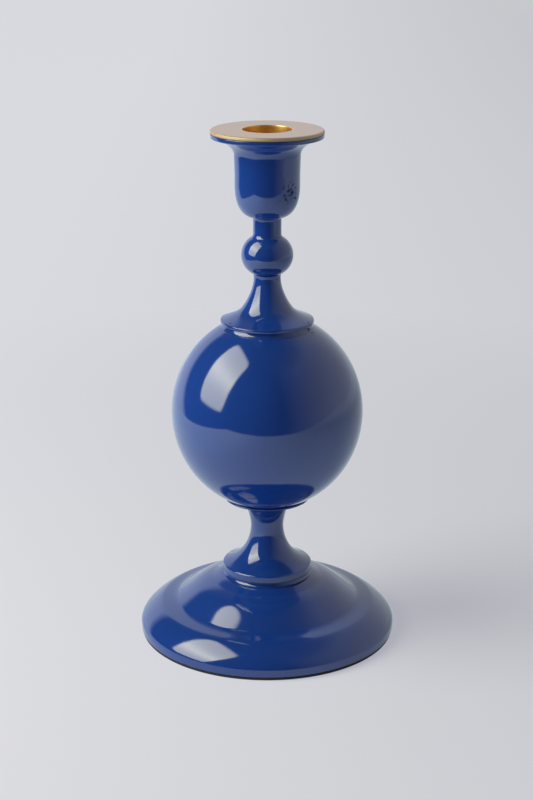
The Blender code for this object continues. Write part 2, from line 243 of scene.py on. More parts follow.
class HolderStage(bpy.types.PropertyGroup):
    """Floor, light and camera."""

    floor: FloatVectorProperty(
        name="Floor",
        description="Colour of the pale floor",
        default=(0.86, 0.865, 1.0),
        subtype="COLOR",
        min=0.0,
        max=1.0,
    )
    backdrop: FloatVectorProperty(
        name="Backdrop",
        description="Colour of the far floor and the backdrop",
        default=(0.655, 0.66, 0.695),
        subtype="COLOR",
        min=0.0,
        max=1.0,
    )
    softbox: FloatProperty(
        name="Softbox",
        description="Radiance of the softbox on the left, towards its ends",
        default=3.95,
    )
    softbox_middle: FloatProperty(
        name="Softbox middle",
        description="Radiance that the softbox gains across its middle",
        default=3.3,
    )
    fill: FloatProperty(
        name="Fill",
        description="Strength of the soft light from the right",
        default=0.12,
    )
    lens: FloatProperty(
        name="Lens",
        description="Focal length on a frame 36 mm high",
        default=79.18,
        unit="CAMERA",
    )


class Wire:
    """A node's output that takes part in Python sums: each operation adds a Math node."""

    def __init__(self, paint, socket):
        self.paint = paint
        self.socket = socket

    def sum(self, operation, first, second, clamp=False):
        settings = {"operation": operation, "use_clamp": clamp}
        return self.paint.node("ShaderNodeMath", settings, {0: first, 1: second})

    def __add__(self, other):
        return self.sum("ADD", self, other)

    def __radd__(self, other):
        return self.sum("ADD", other, self)

    def __sub__(self, other):
        return self.sum("SUBTRACT", self, other)

    def __rsub__(self, other):
        return self.sum("SUBTRACT", other, self)

    def __mul__(self, other):
        return self.sum("MULTIPLY", self, other)

    def __rmul__(self, other):
        return self.sum("MULTIPLY", other, self)

    def __truediv__(self, other):
        return self.sum("DIVIDE", self, other)

    def __rtruediv__(self, other):
        return self.sum("DIVIDE", other, self)

    def limited(self):
        """The value kept between 0 and 1."""
        return self.sum("ADD", self, 0.0, clamp=True)

    def over(self, level, softness):
        """0 below the level and 1 above it, with a soft step."""
        return ((self - level) / softness + 0.5).limited()

    def between(self, start, end):
        """0 before the start and 1 after the end."""
        return self.over((start + end) / 2, end - start)

    def eighth(self):
        """The value to the power of eight."""
        fourth = self * self * (self * self)
        return fourth * fourth


class Paint:
    """A node tree that is written as Python expressions."""

    def __init__(self, owner):
        owner.use_nodes = True
        self.tree = owner.node_tree
        self.tree.nodes.clear()

    def node(self, kind, settings=None, inputs=None, output=0):
        """Adds a node: its settings first, then the values or links of its sockets."""
        made = self.tree.nodes.new(kind)
        for key, value in (settings or {}).items():
            setattr(made, key, value)
        for key, value in (inputs or {}).items():
            if isinstance(value, Wire):
                self.tree.links.new(value.socket, made.inputs[key])
            else:
                made.inputs[key].default_value = value
        return Wire(self, made.outputs[output]) if made.outputs else made

    def place(self):
        """Where a point is on the piece, in metres."""
        return self.node("ShaderNodeTexCoord", output="Object")

    def axis(self, place, name):
        """One coordinate of a place."""
        return self.node("ShaderNodeSeparateXYZ", None, {0: place}, output=name)

    def ray(self, kind):
        """1 for rays of this kind and 0 for others."""
        return self.node("ShaderNodeLightPath", output=kind)

    def noise(self, place, size, detail, roughness=0.5):
        """Cloudy noise whose blobs are about this large, in millimetres."""
        inputs = {"Vector": place, "Scale": 1 / (size * MM), "Detail": detail, "Roughness": roughness}
        return self.node("ShaderNodeTexNoise", None, inputs)

    def mix(self, factor, first, second):
        """Blends two colours."""
        inputs = {0: factor, 6: first, 7: second}
        return self.node("ShaderNodeMix", {"data_type": "RGBA"}, inputs, output=2)

    def vector(self, operation, first, second=None, scale=None, output=0):
        inputs = {0: first}
        if second is not None:
            inputs[1] = second
        if scale is not None:
            inputs["Scale"] = scale
        return self.node("ShaderNodeVectorMath", {"operation": operation}, inputs, output)

    def bump(self, height, depth):
        """Surface relief whose height runs from 0 to 1 over this depth, in millimetres."""
        return self.node("ShaderNodeBump", None, {"Height": height, "Strength": 1.0, "Distance": depth * MM})

    def surface(self, inputs, patches=None, patch_look=None):
        """The finish, with another one that shows where the patches are."""
        shader = self.node("ShaderNodeBsdfPrincipled", None, inputs)
        if patches is not None:
            under = self.node("ShaderNodeBsdfPrincipled", None, patch_look)
            shader = self.node("ShaderNodeMixShader", None, {0: patches, 1: shader, 2: under})
        self.node("ShaderNodeOutputMaterial", None, {"Surface": shader})


def opaque(colour):
    return (colour[0], colour[1], colour[2], 1.0)


def scaled(colour, factor):
    return (colour[0] * factor, colour[1] * factor, colour[2] * factor, 1.0)


def tinted(colour, tint):
    return opaque([level * share for level, share in zip(colour, tint)])


def material(name):
    """A new material and the tree that paints it, or None in its place if the material is there already."""
    found = bpy.data.materials.get(name)
    if found:
        return found, None
    made = bpy.data.materials.new(name)
    return made, Paint(made)


# Finishes, with sizes in millimetres
SMOOTH, PLAIN, FINE, FINER, FINEST = 1.0, 2.0, 3.0, 4.0, 5.0
ENAMEL_CLOUD = 22.0
ENAMEL_GRAIN = 0.8
ENAMEL_GRAIN_SHARE = 0.25
ENAMEL_PALE, ENAMEL_DEEP = 1.12, 0.88
ENAMEL_IOR = 1.7
SMEAR_SIZE = 14.0
SMEAR_TEXTURE = 0.6
SMEAR_BASE = 0.7
SMEAR_ROUGHNESS = 0.6
# Dark, rough patches on the enamel: chips on the cup, and painted shade in the joints under the trumpet's
# flange and under the ball.
WORN_CUP = ((10.8, -10.5, 215.8), 10.0)
SHADE_UNDER_FLANGE_LEFT = ((-17.0, -12.5, 152.6), 7.5)
SHADE_UNDER_FLANGE_RIGHT = ((18.7, -9.8, 152.6), 6.0)
SHADE_UNDER_BALL_LEFT = ((-18.5, -8.8, 67.3), 4.5)
SHADE_UNDER_BALL_RIGHT = ((17.2, -11.0, 67.3), 3.5)
CHIP_AND_SHADE_PLACES = (WORN_CUP, SHADE_UNDER_FLANGE_LEFT, SHADE_UNDER_FLANGE_RIGHT, SHADE_UNDER_BALL_LEFT, SHADE_UNDER_BALL_RIGHT)
CHIP_AND_SHADE_GRAIN = 1.7
CHIP_AND_SHADE_REACH = 0.3
CHIP_AND_SHADE_LEVEL = 0.79
CHIP_AND_SHADE_SOFT = 0.1
CHIP_AND_SHADE_TONE = (0.01, 0.024, 0.08, 1.0)
CHIP_AND_SHADE_ROUGHNESS = 0.6
CHIP_AND_SHADE_SHINE = 0.15
PEEL_SIZE = 6.5
PEEL_DEPTH = 0.02
TURNING_LINES = 9000.0
TURNING_DEPTH = 0.0025
BRASS_CLOUD = 9.0
BRASS_PALE, BRASS_DEEP = 1.06, 0.93
BORE_ROUGHNESS = 0.33
FLANGE_ROUGHNESS = 0.34
TARNISH_ROUGHNESS = 0.08
BORE_EDGE = 0.6
FLANGE_EDGE = 25.5
FLANGE_EDGE_SOFT = 0.5
FLANGE_EDGE_TONE = (0.59, 0.46, 0.29, 1.0)
FLANGE_EDGE_ROUGHNESS = 0.36
PORE_SIZE = 0.5
PORE_TEXTURE = 0.7
PORE_DEPTH = 0.08
DUST_SIZE = 5.0
PAD_DEEP, PAD_DUSTY = 0.8, 1.8
PAD_ROUGHNESS = 0.78
ZINC_CRYSTALS = 700.0
ZINC_CRYSTAL_SHARE = 0.06
ZINC_CLOUD = 4.0
ZINC_DULL, ZINC_BRIGHT = (0.38, 0.38, 0.39, 1.0), (0.55, 0.55, 0.53, 1.0)
ZINC_ROUGHNESS = 0.26
FIBRE_SIZE = 0.7
FIBRE_TEXTURE = 0.65
FIBRE_STRETCH = (1.0, 0.25, 1.0)
FIBRE_DEPTH = 0.05
FIBRE_DARK, FIBRE_PALE = (0.12, 0.07, 0.04, 1.0), (0.3, 0.19, 0.11, 1.0)
FIBRE_ROUGHNESS = 0.7
ROUGHNESS_SPREAD = 0.2


def chips_and_painted_shade(paint, place):
    """1 in patches close to the listed places: chipped enamel on the cup, and painted shade in the joints
    under the flange and under the ball.
    """
    near = 0.0
    for centre, radius in CHIP_AND_SHADE_PLACES:
        middle = [level * MM for level in centre]
        offset = paint.vector("DISTANCE", place, middle, output="Value")
        near = (1 - offset / (radius * MM)).limited() + near
    grain = paint.noise(place, CHIP_AND_SHADE_GRAIN, FINE)
    return (near * CHIP_AND_SHADE_REACH + grain).over(CHIP_AND_SHADE_LEVEL, CHIP_AND_SHADE_SOFT) * near.over(0.0, CHIP_AND_SHADE_SOFT)


def cobalt_enamel():
    """Thick glossy enamel: slightly cloudy pigment, faint orange peel and hand smears in the gloss."""
    made, paint = material("cobalt_enamel")
    if paint is None:
        return made
    finish = bpy.context.scene.holder_finish
    place = paint.place()
    cloud = paint.noise(place, ENAMEL_CLOUD, FINE)
    pigment = paint.noise(place, ENAMEL_GRAIN, PLAIN)
    depth = (cloud * (1 - ENAMEL_GRAIN_SHARE) + pigment * ENAMEL_GRAIN_SHARE).limited()
    colour = paint.mix(depth, scaled(finish.enamel, ENAMEL_DEEP), scaled(finish.enamel, ENAMEL_PALE))
    smear = paint.noise(place, SMEAR_SIZE, FINEST, SMEAR_TEXTURE)
    peel = paint.noise(place, PEEL_SIZE, SMOOTH)
    paint.surface(
        {
            "Base Color": colour,
            "Roughness": (SMEAR_BASE + smear * SMEAR_ROUGHNESS) * finish.enamel_gloss,
            "IOR": ENAMEL_IOR,
            "Normal": paint.bump(peel, PEEL_DEPTH),
        },
        # Chips on the cup, and painted shade in the joints under the flange and under the ball.
        chips_and_painted_shade(paint, place),
        {"Base Color": CHIP_AND_SHADE_TONE, "Roughness": CHIP_AND_SHADE_ROUGHNESS, "Specular IOR Level": CHIP_AND_SHADE_SHINE},
    )
    return made


def satin_brass():
    """Brass with a pale satin flange, fine turning lines and a warmer bore."""
    made, paint = material("satin_brass")
    if paint is None:
        return made
    finish = bpy.context.scene.holder_finish
    place = paint.place()
    flat = paint.vector("MULTIPLY", place, (1.0, 1.0, 0.0))
    radius = paint.vector("LENGTH", flat, output="Value")
    flange = radius.over((SOCKET_RADIUS + BORE_EDGE) * MM, BORE_EDGE * MM)
    rings = paint.node("ShaderNodeTexNoise", {"noise_dimensions": "1D"}, {"W": radius * TURNING_LINES})
    cloud = paint.noise(place, BRASS_CLOUD, FINER)
    edge = radius.over(FLANGE_EDGE * MM, FLANGE_EDGE_SOFT * MM)
    satin = paint.mix(edge, opaque(finish.flange), FLANGE_EDGE_TONE)
    tone = paint.mix(flange, opaque(finish.bore), satin)
    roughness = BORE_ROUGHNESS + flange * (FLANGE_ROUGHNESS - BORE_ROUGHNESS)
    roughness = roughness + edge * FLANGE_EDGE_ROUGHNESS
    shade = cloud * (BRASS_PALE - BRASS_DEEP) + BRASS_DEEP
    paint.surface(
        {
            "Base Color": paint.vector("SCALE", tone, scale=shade),
            "Metallic": 1.0,
            "Roughness": roughness + cloud * TARNISH_ROUGHNESS,
            "Normal": paint.bump(rings * flange, TURNING_DEPTH),
        }
    )
    return made


def foam_pad():
    """Matt black foam rubber with fine pores."""
    made, paint = material("foam_pad")
    if paint is None:
        return made
    finish = bpy.context.scene.holder_finish
    place = paint.place()
    pores = paint.noise(place, PORE_SIZE, FINE, PORE_TEXTURE)
    dust = paint.noise(place, DUST_SIZE, FINER)
    paint.surface(
        {
            "Base Color": paint.mix(dust, scaled(finish.pad, PAD_DEEP), scaled(finish.pad, PAD_DUSTY)),
            "Roughness": PAD_ROUGHNESS + pores * ROUGHNESS_SPREAD,
            "Normal": paint.bump(pores, PORE_DEPTH),
        }
    )
    return made


def zinc_steel():
    """Zinc-plated steel with a faintly crystalline, streaked plating."""
    made, paint = material("zinc_steel")
    if paint is None:
        return made
    place = paint.place()
    crystals = {"Vector": place, "Scale": ZINC_CRYSTALS}
    grains = paint.node("ShaderNodeTexVoronoi", None, crystals, output="Color")
    cloud = paint.noise(place, ZINC_CLOUD, FINER)
    plate = paint.mix(cloud, ZINC_DULL, ZINC_BRIGHT)
    paint.surface(
        {
            "Base Color": paint.mix(ZINC_CRYSTAL_SHARE, plate, grains),
            "Metallic": 1.0,
            "Roughness": ZINC_ROUGHNESS + cloud * ROUGHNESS_SPREAD,
        }
    )
    return made


def hardboard():
    """Pressed brown fibre board."""
    made, paint = material("hardboard")
    if paint is None:
        return made
    place = paint.place()
    stretched = paint.vector("MULTIPLY", place, FIBRE_STRETCH)
    fibres = paint.noise(stretched, FIBRE_SIZE, FINER, FIBRE_TEXTURE)
    paint.surface(
        {
            "Base Color": paint.mix(fibres, FIBRE_DARK, FIBRE_PALE),
            "Roughness": FIBRE_ROUGHNESS + fibres * ROUGHNESS_SPREAD,
            "Normal": paint.bump(fibres, FIBRE_DEPTH),
        }
    )
    return made


def arc(centre, radius, start, end, steps=CORNER_STEPS):
    """Points on a circle, from one angle to another in degrees."""
    points = []
    for i in range(steps + 1):
        angle = math.radians(start + (end - start) * i / steps)
        points.append((centre[0] + radius * math.cos(angle), centre[1] + radius * math.sin(angle)))
    return points


def sweep(curve, steps=LONG_CURVE):
    """Points on a cubic curve that leaves its first point towards the second and arrives from the third."""
    points = []
    for i in range(steps + 1):
        t = i / steps
        s = 1 - t
        weights = (s * s * s, 3 * s * s * t, 3 * s * t * t, t * t * t)
        points.append(tuple(sum(w * p[k] for w, p in zip(weights, curve)) for k in (0, 1)))
    return points


def along_ball(side, clearance, start, end, steps=SHORT_CURVE):
    """Points just clear of the ball from one radius to another. Side is 1 over the ball and -1 under it."""
    points = []
    for i in range(steps + 1):
        radius = start + (end - start) * i / steps
        share = radius / (BALL_RADIUS + clearance)
        points.append((radius, BALL_CENTRE + side * (BALL_RISE + clearance) * math.sqrt(1 - share**2)))
    return points


def evened(outline, step, closed):
    """The outline without doubled points, and with its long straight stretches cut into short steps."""
    ends = outline[1:] + outline[:1] if closed else outline[1:]
    points = []
    for first, second in zip(outline, ends):
        length = math.dist(first, second)
        if length < DOUBLED:
            continue
        pieces = max(1, math.ceil(length / step))
        for i in range(pieces):
            share = i / pieces
            points.append(tuple(a + (b - a) * share for a, b in zip(first, second)))
    if not closed:
        points.append(outline[-1])
    return points


class Shaper:
    """A Geometry Nodes tree with named inputs."""

    def __init__(self, name):
        self.tree = bpy.data.node_groups.new(name, "GeometryNodeTree")
        self.tree.is_modifier = True
        self.identifiers = {}
        self.tree.interface.new_socket("Geometry", in_out="INPUT", socket_type="NodeSocketGeometry")
        self.tree.interface.new_socket("Geometry", in_out="OUTPUT", socket_type="NodeSocketGeometry")
        self.entry = self.tree.nodes.new("NodeGroupInput")

    def input(self, name, kind):
        """Adds a named input and returns its socket."""
        socket = self.tree.interface.new_socket(name, in_out="INPUT", socket_type=kind)
        self.identifiers[name] = socket.identifier
        return self.entry.outputs[name]

    def node(self, kind, settings=None, inputs=None):
        made = self.tree.nodes.new(kind)
        for key, value in (settings or {}).items():
            setattr(made, key, value)
        for key, value in (inputs or {}).items():
            if isinstance(value, bpy.types.NodeSocket):
                self.tree.links.new(value, made.inputs[key])
            else:
                made.inputs[key].default_value = value
        return made.outputs[0] if made.outputs else made

    def finish(self, geometry, look):
        """Ends the tree: instances made real, then the material."""
        real = self.node("GeometryNodeRealizeInstances", None, {"Geometry": geometry})
        dressed = self.node("GeometryNodeSetMaterial", None, {"Geometry": real, "Material": look})
        self.node("NodeGroupOutput", None, {"Geometry": dressed})


def lathe():
    """The tree that turns an outline in the XZ plane round the Z axis."""
    shaper = Shaper("Turned piece")
    segments = shaper.input("Segments", "NodeSocketInt")
    crease = shaper.input("Crease", "NodeSocketFloat")
    look = shaper.input("Material", "NodeSocketMaterial")
    outline = shaper.node("GeometryNodeMeshToCurve", None, {"Mesh": shaper.entry.outputs["Geometry"]})
    upright = {"Geometry": outline, "Translation": (-LATHE_GUIDE, 0.0, 0.0), "Rotation": QUARTER_TURN}
    profile = shaper.node("GeometryNodeTransform", None, upright)
    round_axis = {"Resolution": segments, "Radius": LATHE_GUIDE}
    circle = shaper.node("GeometryNodeCurvePrimitiveCircle", None, round_axis)
    path = shaper.node("GeometryNodeSetCurveNormal", {"mode": "Z_UP"}, {"Curve": circle})
    turned = shaper.node("GeometryNodeCurveToMesh", None, {"Curve": path, "Profile Curve": profile})
    closed = shaper.node("GeometryNodeMergeByDistance", None, {"Geometry": turned, "Distance": WELD})
    rounded = {"Geometry": closed, "Shade Smooth": True}
    smooth = shaper.node("GeometryNodeSetShadeSmooth", {"domain": "FACE"}, rounded)
    angle = shaper.node("GeometryNodeInputMeshEdgeAngle")
    sharp = shaper.node("FunctionNodeCompare", {"operation": "GREATER_THAN"}, {"A": angle, "B": crease})
    creased = {"Geometry": smooth, "Selection": sharp, "Shade Smooth": False}
    shaper.finish(shaper.node("GeometryNodeSetShadeSmooth", {"domain": "EDGE"}, creased), look)
    return shaper


SHAPERS = {}


def shaped(name, points, edges, shaper, values):
    """Runs a tree over a mesh of points and edges, and keeps the result as a plain mesh."""
    source = bpy.data.meshes.new(name + "_outline")
    source.from_pydata(points, edges, [])
    obj = bpy.data.objects.new(name, source)
    bpy.context.scene.collection.objects.link(obj)
    modifier = obj.modifiers.new("Shape", "NODES")
    modifier.node_group = shaper.tree
    for key, value in values.items():
        modifier[shaper.identifiers[key]] = value
    bpy.context.view_layer.update()
    graph = bpy.context.evaluated_depsgraph_get()
    mesh = bpy.data.meshes.new_from_object(obj.evaluated_get(graph))
    if not mesh.polygons:
        raise RuntimeError(name + " came out of its tree with no faces")
    obj.modifiers.remove(modifier)
    obj.data = mesh
    mesh.name = name
    bpy.data.meshes.remove(source)
    return obj


def turned(name, outline, look, closed=True):
    """A turned piece. A closed outline goes round a hole, an open one starts and ends on the axis."""
    sizes = bpy.context.scene.holder_sizes
    if "lathe" not in SHAPERS:
        SHAPERS["lathe"] = lathe()
    outline = evened(outline, sizes.outline_step / MM, closed)
    points = [(radius * MM, 0.0, height * MM) for radius, height in outline]
    count = len(points)
    edges = [(i, (i + 1) % count) for i in range(count if closed else count - 1)]
    values = {"Segments": sizes.segments, "Crease": sizes.crease, "Material": look}
    return shaped(name, points, edges, SHAPERS["lathe"], values)


def stands_for(obj, node, body):
    """Hands a finished piece to the frame in place of a CAD node."""
    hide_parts(node)
    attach(obj, body)


def dress(node, look):
    """Gives a CAD node that stays on show its finish."""
    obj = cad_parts[node]
    obj.data.materials.clear()
    obj.data.materials.append(look)


def enamelled(outlines):
    """Turns the enamelled pieces of the stand, each from its outline."""
    look = cobalt_enamel()
    for node, outline in outlines.items():
        stands_for(turned("enamel_" + node, outline, look), node, "stand")


def nozzle_outline():
    floor = HEIGHT - SOCKET_DEPTH
    under = HEIGHT - FLANGE_THICK
    outer = SOCKET_RADIUS + NOZZLE_WALL
    corner = NOZZLE_CORNER
    outline = [(0.0, floor)]
    outline += arc((SOCKET_RADIUS - corner, floor + corner), corner, DOWN, OUT)
    outline += arc((SOCKET_RADIUS + SOCKET_LIP, HEIGHT - SOCKET_LIP), SOCKET_LIP, IN, UP)
    rim = (RIM_RADIUS - FLANGE_TOP_ROUND, HEIGHT - FLANGE_TOP_ROUND)
    outline += arc(rim, FLANGE_TOP_ROUND, UP, OUT, SHORT_CURVE)
    outline += arc((RIM_RADIUS - FLANGE_ROUND, under + FLANGE_ROUND), FLANGE_ROUND, OUT, DOWN)
    outline += [(outer, under)]
    outline += arc((outer - corner, NOZZLE_BASE + corner), corner, OUT, DOWN)
    outline += [(0.0, NOZZLE_BASE)]
    return outline


def cup_outline():
    tip = CUP_BASE - SPIGOT_LENGTH
    outline = [(CUP_BORE, CUP_TOP)]
    outline += arc((RIM_RADIUS - CUP_RIM_TOP_ROUND, CUP_TOP - CUP_RIM_TOP_ROUND), CUP_RIM_TOP_ROUND, UP, OUT)
    outline += arc((RIM_RADIUS - CUP_RIM_ROUND, CUP_RIM_UNDER + CUP_RIM_ROUND), CUP_RIM_ROUND, OUT, DOWN)
    outline += sweep(CUP_THROAT) + [CUP_SIDE] + sweep(CUP_BOTTOM)
    outline += [(CUP_SPIGOT, CUP_BASE), (CUP_SPIGOT, tip), (ROD_HOLE, tip), (ROD_HOLE, CUP_FLOOR)]
    outline += [(CUP_FLOOR_RADIUS, CUP_FLOOR), (CUP_BORE, CUP_FLOOR + CUP_FLOOR_RISE)]
    return outline


def knob_stem_outline():
    bore = CUP_SPIGOT + SPIGOT_CLEARANCE
    pocket = STEM_TOP - SPIGOT_POCKET
    tip = STEM_BASE - SPIGOT_LENGTH
    outline = [(bore, STEM_TOP)] + sweep(NECK_FLARE, SHORT_CURVE) + sweep(KNOB_FILLET, SHORT_CURVE)
    outline += arc(KNOB_CENTRE, KNOB_CURVE, KNOB_START, KNOB_END, KNOB_STEPS)
    outline += [(STEM_SPIGOT, STEM_BASE), (STEM_SPIGOT, tip), (ROD_HOLE, tip)]
    return outline + [(ROD_HOLE, pocket), (bore, pocket)]


def trumpet_outline():
    bore = STEM_SPIGOT + SPIGOT_CLEARANCE
    pocket = TRUMPET_TOP - SPIGOT_POCKET
    spigot = POLE_HOLE - SPIGOT_CLEARANCE
    rise = (FLANGE_SEAT - BALL_CENTRE) / (BALL_RISE + DISH_CLEARANCE)
    dish = (BALL_RADIUS + DISH_CLEARANCE) * math.sqrt(1 - rise**2)
    outline = [(bore, TRUMPET_TOP)] + sweep(TRUMPET_NECK, SHORT_CURVE) + sweep(TRUMPET_FLARE)
    outline += sweep(TRUMPET_SKIRT) + sweep(FLANGE_ROLL, SHORT_CURVE)
    outline += arc((FLANGE_RADIUS - FLANGE_CORNER, FLANGE_SEAT + FLANGE_CORNER), FLANGE_CORNER, OUT, DOWN)
    outline += along_ball(1, DISH_CLEARANCE, dish, spigot)
    return outline + [(spigot, FLANGE_SEAT), (ROD_HOLE, FLANGE_SEAT), (ROD_HOLE, pocket), (bore, pocket)]


def upper_ring_outline():
    outline = [(UPPER_RING_BORE, UPPER_COVE[0][1])] + sweep(UPPER_COVE, SHORT_CURVE)
    return outline + along_ball(1, TOUCH, UPPER_COVE[-1][0], UPPER_RING_BORE)


def ball_outline():
    def side(wall, direction):
        radius = BALL_RADIUS - wall
        rise = BALL_RISE - wall
        pole = direction * math.degrees(math.acos(POLE_HOLE / radius))
        circle = arc((0.0, 0.0), 1.0, pole, -pole, BALL_STEPS)
        return [(r * radius, BALL_CENTRE + z * rise) for r, z in circle]

    return side(0.0, 1) + side(BALL_WALL, -1)


def ball_seat_outline():
    rim = (SEAT_RADIUS - SEAT_ROUND, SEAT_UNDER[0][1] + SEAT_ROUND)
    outline = along_ball(-1, TOUCH, POLE_HOLE, SEAT_DISH)
    outline += arc(rim, SEAT_ROUND, UP, DOWN, SHORT_CURVE) + sweep(SEAT_UNDER)
    return outline + [(POLE_HOLE, SEAT_BASE)]


def pedestal_outline():
    top = PEDESTAL_SPIGOT_TOP
    tip = PEDESTAL_SPIGOT_BASE
    upper = POLE_HOLE - SPIGOT_CLEARANCE
    lower = FOOT_HOLE - SPIGOT_CLEARANCE
    corner = (PEDESTAL_FLANGE - PEDESTAL_CORNER, PEDESTAL_BASE + PEDESTAL_CORNER)
    outline = [(upper - SPIGOT_CHAMFER, top), (upper, top - SPIGOT_CHAMFER), (upper, PEDESTAL_TOP)]
    outline += sweep(PEDESTAL_NECK) + sweep(PEDESTAL_FLARE) + sweep(PEDESTAL_SKIRT)
    outline += sweep(PEDESTAL_ROLL, SHORT_CURVE) + arc(corner, PEDESTAL_CORNER, OUT, DOWN)
    return outline + [(lower, PEDESTAL_BASE), (lower, tip), (ROD_HOLE, tip), (ROD_HOLE, top)]


def foot_ring_outline():
    base = FOOT_TOP + TOUCH
    outline = [(FOOT_RING_BORE, FOOT_COVE[0][1])] + sweep(FOOT_COVE, SHORT_CURVE)
    return outline + [(FOOT_COVE[-1][0], base), (FOOT_RING_BORE, base)]


def foot_outline():
    recess, ledge = FOOT_RECESS
    outline = [(FOOT_HOLE, FOOT_TOP)] + sweep(FOOT_CREST) + sweep(FOOT_DOME) + sweep(FOOT_VALLEY)
    outline += sweep(FOOT_SHOULDER)
    outline += arc((FOOT_RADIUS - FOOT_CORNER, FOOT_BASE + FOOT_CORNER), FOOT_CORNER, OUT, DOWN)
    outline += [(recess, FOOT_BASE), (recess, ledge), (FOOT_LEDGE, ledge)] + list(FOOT_INSIDE)
    return outline + [(FOOT_CEILING_RADIUS, FOOT_CEILING), (FOOT_HOLE, FOOT_CEILING)]


def pad_outline():
    top = FOOT_BASE - TOUCH
    edge = PAD_RADIUS - PAD_CORNER
    outline = [(0.0, top)] + arc((edge, top - PAD_CORNER), PAD_CORNER, UP, OUT)
    return outline + arc((edge, PAD_BASE + PAD_CORNER), PAD_CORNER, OUT, DOWN) + [(0.0, PAD_BASE)]


class PieceOperator:
    """What the operators that make pieces share."""

    bl_options = {"REGISTER", "UNDO"}


class CANDLE_OT_nozzle(PieceOperator, bpy.types.Operator):
    """Turn the brass nozzle that holds the candle"""

    bl_idname = "candle.nozzle"
    bl_label = "Brass nozzle"

    def execute(self, context):
        made = turned("brass_nozzle", nozzle_outline(), satin_brass(), closed=False)
        stands_for(made, "nozzle", "nozzle_body")
        return {"FINISHED"}


class CANDLE_OT_stem(PieceOperator, bpy.types.Operator):
    """Turn the enamelled cup, the knobbed stem and the trumpet under it"""

    bl_idname = "candle.stem"
    bl_label = "Cup and stem"

    def execute(self, context):
        outlines = {
            "cup": cup_outline(),
            "knob_stem": knob_stem_outline(),
            "trumpet": trumpet_outline(),
        }
        enamelled(outlines)
        return {"FINISHED"}


class CANDLE_OT_ball(PieceOperator, bpy.types.Operator):
    """Turn the hollow ball, the ring over it and the seat under it"""

    bl_idname = "candle.ball"
    bl_label = "Ball, ring and seat"

    def execute(self, context):
        outlines = {
            "upper_ring": upper_ring_outline(),
            "ball": ball_outline(),
            "ball_seat": ball_seat_outline(),
        }
        enamelled(outlines)
        return {"FINISHED"}


class CANDLE_OT_foot(PieceOperator, bpy.types.Operator):
    """Turn the pedestal, its ring, the domed foot and the pad under it"""

    bl_idname = "candle.foot"
    bl_label = "Pedestal and foot"

    def execute(self, context):
        outlines = {
            "pedestal": pedestal_outline(),
            "foot_ring": foot_ring_outline(),
            "foot": foot_outline(),
        }
        enamelled(outlines)
        pad = turned("foam_pad", pad_outline(), foam_pad(), closed=False)
        stands_for(pad, "base_pad", "stand")
        return {"FINISHED"}


class CANDLE_OT_fasteners(PieceOperator, bpy.types.Operator):
    """Finish the tie rod, its nuts and washers and the board inside the foot"""

    bl_idname = "candle.fasteners"
    bl_label = "Rod and fasteners"

    def execute(self, context):
        for node in ("tie_rod", "top_washer", "top_nut", "bottom_washer", "spring_washer", "bottom_nut"):
            dress(node, zinc_steel())
        dress("base_disc", hardboard())
        return {"FINISHED"}


# Studio, with lengths in metres
TABLE_LEFT = -0.535
TABLE_FRONT = -0.515
TABLE_EDGE_SOFT = 0.004
FLOOR_SIZE = 30.0
FADE_START = 0.1
FADE_END = 0.6
FAR_START = 0.6
FAR_END = 1.3
FLOOR_GLOW = 0.58
FLOOR_BOUNCE = (0.0, 0.08, 0.1, 1.0)
# Painted light in the floor's glow: brighter near the object than the backdrop, and brighter on the left in
# reflections, towards the softbox.
FLOOR_NEAR = (0.7, 0.705, 0.785, 1.0)
FLOOR_MIRRORED = (0.76, 0.85, 0.92, 1.0)
FLOOR_MIRRORED_LIT_LEFT = (1.1, 1.28, 1.32, 1.0)
MIRRORED_MIDDLE = -0.12
MIRRORED_WIDTH = 0.2
# Painted light: the floor's glow is brighter on the left, towards the softbox, and dimmer to the right.
PAINTED_LIGHT_LEFT = 0.06
PAINTED_LIGHT_LEAN = 0.21
FLOOR_LEAN_MIDDLE = 0.15
FLOOR_LEAN_WIDTH = 0.7
LEVEL_START = 2.0
LEVEL_END = 10.0
SOFTBOX_PLACE = (-0.7005, -0.187, 0.6499)
SOFTBOX_FACING = (0.754, 0.23, -0.616)
SOFTBOX_UP = (0.589, 0.18, 0.788)
SOFTBOX_SIZE = (0.745, 1.1)
SOFTBOX_PANEL = (0.655, 1.029)
SOFTBOX_SLANT = (0.082, 0.0955)
SOFTBOX_EDGE = 1.5
LAMP_CENTRE = 0.5
SOFTBOX_TINT = (0.97, 0.96, 0.75, 1.0)
SOFTBOX_MIDDLE = 0.03
SOFTBOX_BELL = 6.1
CAMERA_PLACE = (-0.0003, -0.7888, 0.3701)
CAMERA_TILT = math.radians(17.89)
CLIP_NEAR = 0.01
CLIP_FAR = 100.0
BACK_EDGES = (
    ((0.363, 0.516, -0.437), -0.02, 0.1),
    ((0.0, 1.0, 0.0), 0.0, 0.05),
    ((0.0, 0.0, -1.0), -0.75, 0.1),
)
BACK_LEAN = (-0.641, 0.37, 0.0)
BACK_LEVEL = 0.24
WALL_EDGES = (((0.866, 0.5, 0.0), 0.36, 1.04), ((0.0, 0.0, -1.0), -0.9, 0.2))
WALL_LEVEL = 0.73
BACK_TINT = (1.56, 1.68, 1.8)
WALL_TINT = (1.3, 1.38, 1.6)
DARK_ROOM = (0.05, 0.052, 0.055, 1.0)
FILL_TINT = (0.97, 0.985, 1.0)
FILL_FROM = (1.0, 0.0, 0.0)
FILL_MIDDLE = 0.2
FILL_SOFT = 1.4


